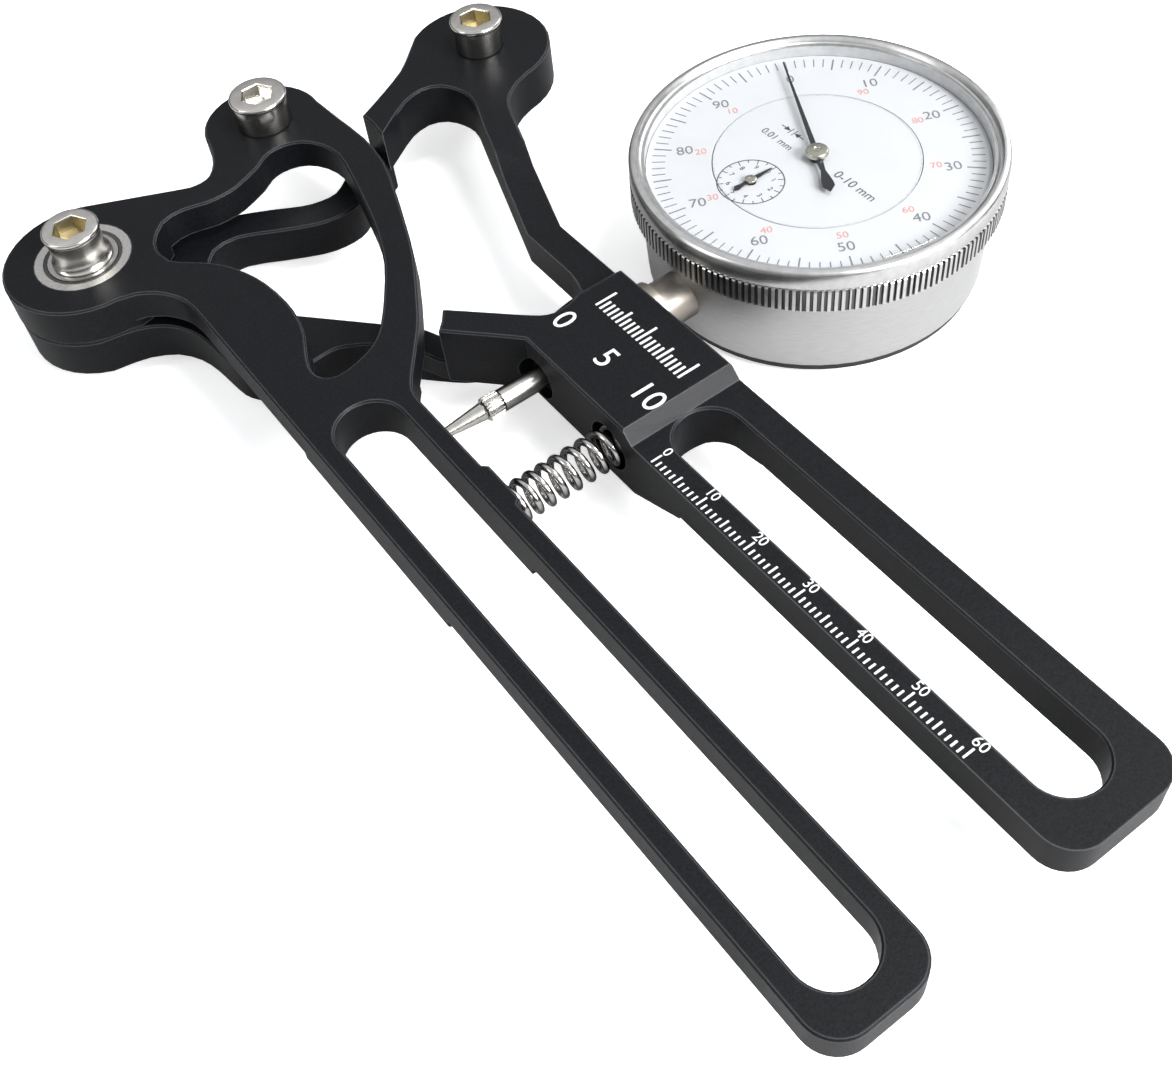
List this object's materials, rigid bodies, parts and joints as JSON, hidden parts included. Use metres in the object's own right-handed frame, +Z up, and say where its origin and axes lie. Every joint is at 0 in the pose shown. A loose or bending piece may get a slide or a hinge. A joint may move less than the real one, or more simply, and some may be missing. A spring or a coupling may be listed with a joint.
{
  "type": "bicycle spoke tension meter",
  "caption": "Handheld bicycle spoke tension meter: two slotted plate handles on a bearing pivot, three spoke posts, return spring and a plunger dial indicator with a turning bezel.",
  "frame": {"origin": "pivot axis of the lever, on the underside of the frame plate", "axes": "+X along the dial stem towards the dial, +Y towards the spoke posts, +Z up through the dial face"},
  "size_m": [0.1433, 0.1933, 0.0233],
  "materials": {
    "anodised": "black anodised, fine bead-blasted",
    "polished_steel": "polished nickel-plated steel",
    "ground_steel": "ground and turned steel",
    "black_screw": "black oxide steel",
    "case_aluminium": "satin turned aluminium",
    "bezel_aluminium": "polished aluminium with ribs",
    "black_cover": "black moulded cover",
    "brass": "machined brass",
    "dial_white": "white enamel with printed scale",
    "hand_black": "blued steel hand",
    "hub_steel": "turned nickel silver",
    "crystal_clear": "clear polished acrylic"
  },
  "bodies": {
    "frame": {"frame_plate": "anodised", "pivot_post": "polished_steel", "pivot_spacer": "ground_steel", "bearing_inner_race": "ground_steel", "right_post": "polished_steel", "return_spring": "polished_steel", "dial_stem": "ground_steel", "stem_sleeve": "ground_steel", "stem_set_screw": "black_screw", "dial_case": "case_aluminium", "back_cover": "black_cover", "cover_screw_1": "ground_steel", "cover_screw_2": "ground_steel", "cover_screw_3": "ground_steel", "cover_screw_4": "ground_steel", "movement_plate": "brass", "inner_dial_face": "dial_white"},
    "lever": {"lever_plate": "anodised", "bearing_outer_race": "ground_steel", "bearing_shield_top": "ground_steel", "bearing_shield_bottom": "ground_steel", "middle_post": "polished_steel"},
    "ball_ring": {"bearing_ball_ring": "ground_steel"},
    "plunger": {"contact_point": "polished_steel", "knurled_collar": "polished_steel", "plunger_spindle": "ground_steel"},
    "small_hand_arbor": {"rack_arbor": "brass", "small_hand": "hand_black", "small_hub_cap": "hub_steel"},
    "big_hand_arbor": {"center_arbor": "brass", "big_hand": "hand_black", "big_hub_cap": "hub_steel"},
    "backlash_gear": {"backlash_arbor": "brass"},
    "bezel_set": {"bezel": "bezel_aluminium", "crystal": "crystal_clear", "outer_dial_ring": "dial_white"}
  },
  "joints": [
    {"name": "lever_pivot", "type": "hinge", "parent": "frame", "child": "lever", "pos_m": [0, 0, 0.0115], "axis": [0, 0, 1], "range_deg": [0, 5], "deforming": ["return_spring"]},
    {"name": "ball_ring_roll", "type": "hinge", "parent": "frame", "child": "ball_ring", "pos_m": [0, 0, 0.0115], "axis": [0, 0, 1], "range_deg": [0, 3]},
    {"name": "plunger_slide", "type": "slide", "parent": "frame", "child": "plunger", "axis": [1, 0, 0], "range_m": [0, 0.006]},
    {"name": "small_hand_spin", "type": "hinge", "parent": "frame", "child": "small_hand_arbor", "pos_m": [0.0888, -0.0634, 0.0108], "axis": [0, 0, 1], "range_deg": [0, 216]},
    {"name": "big_hand_spin", "type": "hinge", "parent": "frame", "child": "big_hand_arbor", "pos_m": [0.1001, -0.0661, 0.0108], "axis": [0, 0, 1], "range_deg": [-2145, 0]},
    {"name": "backlash_gear_spin", "type": "hinge", "parent": "frame", "child": "backlash_gear", "pos_m": [0.1075, -0.07505, 0.0108], "axis": [0, 0, 1], "range_deg": [0, 216]},
    {"name": "bezel_turn", "type": "hinge", "parent": "frame", "child": "bezel_set", "pos_m": [0.1001, -0.0661, 0.017], "axis": [0, 0, 1], "continuous": true}
  ],
  "couplings": [
    {"joint": "ball_ring_roll", "follows": "lever_pivot", "ratio": 0.588},
    {"joint": "plunger_slide", "follows": "lever_pivot", "m_per_rad": 0.068},
    {"joint": "small_hand_spin", "follows": "lever_pivot", "ratio": 42.726},
    {"joint": "big_hand_spin", "follows": "lever_pivot", "ratio": -427.26},
    {"joint": "backlash_gear_spin", "follows": "lever_pivot", "ratio": 42.726}
  ]
}
